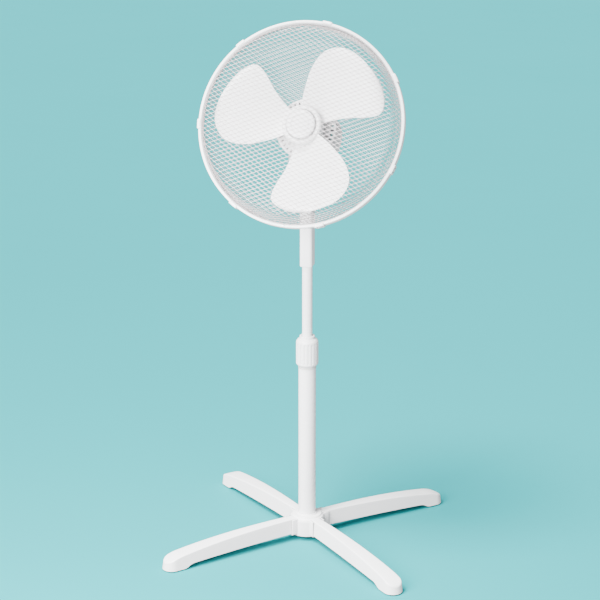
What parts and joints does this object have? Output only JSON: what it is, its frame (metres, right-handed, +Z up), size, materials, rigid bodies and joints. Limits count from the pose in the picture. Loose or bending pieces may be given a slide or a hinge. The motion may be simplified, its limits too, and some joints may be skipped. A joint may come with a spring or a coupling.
{
  "type": "pedestal fan",
  "caption": "Free-standing pedestal fan: cross base, telescopic stand with clamping collar, tilting and swinging head, broad blades inside a diamond-mesh guard.",
  "frame": {"origin": "on the floor, under the axis of the stand", "axes": "+Z up along the stand, the fan blows towards -Y, +X to the right seen from the front"},
  "size_m": [0.5178, 0.5178, 1.138],
  "materials": {
    "white_plastic": "moulded, satin to gloss",
    "leg_plastic": "moulded, satin with a light grain",
    "white_paint": "gloss powder coat",
    "guard_mesh": "painted white",
    "rim_plastic": "smooth gloss",
    "blade_plastic": "smooth satin",
    "motor_plastic": "fine grain",
    "inner_plastic": "plain moulded",
    "button_grey": "satin",
    "rubber": "matt",
    "dark_plastic": "matt",
    "steel": "zinc plated",
    "lamination": "varnished",
    "copper": "enamelled wire",
    "bronze": "sintered"
  },
  "bodies": {
    "base": {"base_hub": "leg_plastic", "leg_front_left": "leg_plastic", "leg_front_right": "leg_plastic", "leg_back_left": "leg_plastic", "leg_back_right": "leg_plastic", "foot_pads": "rubber", "leg_screws": "steel", "base_nut": "inner_plastic", "outer_tube": "white_paint", "guide_bush": "inner_plastic"},
    "collar": {"height_collar": "white_plastic"},
    "mast": {"inner_tube": "white_paint", "guide_plug": "inner_plastic", "control_housing": "white_plastic", "housing_back": "white_plastic", "housing_screws": "steel", "neck_screw": "white_plastic", "switch_block": "inner_plastic", "cord_gland": "dark_plastic", "tilt_bolt": "steel", "tilt_nut": "steel"},
    "knob": {"tilt_knob": "white_plastic"},
    "key_off": {"button_off": "button_grey"},
    "key_low": {"button_low": "white_plastic"},
    "key_medium": {"button_medium": "white_plastic"},
    "key_high": {"button_high": "white_plastic"},
    "bracket": {"tilt_bracket": "white_plastic", "swivel_post": "steel", "swing_arm": "steel"},
    "head": {"gear_housing": "inner_plastic", "gear_lid": "inner_plastic", "post_screw": "steel", "motor_front_cover": "motor_plastic", "motor_rear_cover": "motor_plastic", "stator": "lamination", "windings": "copper", "motor_screws": "steel", "capacitor": "dark_plastic", "front_bearing": "bronze", "rear_bearing": "bronze", "guard_centre_plate": "motor_plastic", "guard_lock_nut": "inner_plastic", "rear_guard": "guard_mesh", "front_guard": "guard_mesh", "guard_rim": "rim_plastic", "rim_clips": "rim_plastic", "rim_screw": "steel"},
    "crank": {"crank_arm": "steel", "crank_gear": "bronze"},
    "clutch": {"clutch_spindle": "steel"},
    "wheel": {"worm_wheel": "inner_plastic"},
    "swing_knob": {"oscillation_knob": "white_plastic"},
    "rotor": {"rotor_core": "lamination", "motor_shaft": "steel", "worm": "bronze", "fan_blades": "blade_plastic", "drive_pin": "steel", "blade_nut": "white_plastic"}
  },
  "joints": [
    {"name": "collar_turn", "type": "hinge", "parent": "base", "child": "collar", "pos_m": [0, 0, 0.43], "axis": [0, 0, 1], "range_deg": [0, 270]},
    {"name": "height_slide", "type": "slide", "parent": "base", "child": "mast", "axis": [0, 0, 1], "range_m": [-0.145, 0.11]},
    {"name": "tilt_knob_turn", "type": "hinge", "parent": "mast", "child": "knob", "pos_m": [0, 0, 0.824], "axis": [1, 0, 0], "range_deg": [0, 270]},
    {"name": "key_off_push", "type": "slide", "parent": "mast", "child": "key_off", "axis": [0, 1, 0], "range_m": [0, 0.0035], "stiffness_N_per_m": 400},
    {"name": "key_low_push", "type": "slide", "parent": "mast", "child": "key_low", "axis": [0, 1, 0], "range_m": [0, 0.0035], "stiffness_N_per_m": 400},
    {"name": "key_medium_push", "type": "slide", "parent": "mast", "child": "key_medium", "axis": [0, 1, 0], "range_m": [0, 0.0035], "stiffness_N_per_m": 400},
    {"name": "key_high_push", "type": "slide", "parent": "mast", "child": "key_high", "axis": [0, 1, 0], "range_m": [0, 0.0035], "stiffness_N_per_m": 400},
    {"name": "head_tilt", "type": "hinge", "parent": "mast", "child": "bracket", "pos_m": [0, 0, 0.824], "axis": [1, 0, 0], "range_deg": [-6.5, 33.5]},
    {"name": "head_swing", "type": "hinge", "parent": "bracket", "child": "head", "pos_m": [0, 0, 0.824], "axis": [0, 0.3987, 0.9171], "range_deg": [-40, 40]},
    {"name": "crank_turn", "type": "hinge", "parent": "head", "child": "crank", "pos_m": [0, 0.03369, 0.86387], "axis": [0, 0.3987, 0.9171], "range_deg": [-90.5, 90.5]},
    {"name": "clutch_turn", "type": "hinge", "parent": "head", "child": "clutch", "pos_m": [0.0182, 0.0447, 0.85909], "axis": [0, 0.3987, 0.9171], "range_deg": [-270, 270]},
    {"name": "swing_knob_slide", "type": "slide", "parent": "head", "child": "swing_knob", "axis": [0, 0.3987, 0.9171], "range_m": [-0.005, 0]},
    {"name": "blade_spin", "type": "hinge", "parent": "head", "child": "rotor", "pos_m": [0, -0.05706, 0.93604], "axis": [0, -0.9171, 0.3987], "continuous": true},
    {"name": "worm_wheel_spin", "type": "hinge", "parent": "head", "child": "wheel", "pos_m": [0.0182, 0.05666, 0.8866], "axis": [0, 0.3987, 0.9171], "continuous": true}
  ],
  "couplings": [
    {"joint": "crank_turn", "follows": "head_swing", "ratio": -2.25},
    {"joint": "clutch_turn", "follows": "head_swing", "ratio": 6.5454},
    {"joint": "worm_wheel_spin", "follows": "blade_spin", "ratio": 0.035714}
  ]
}
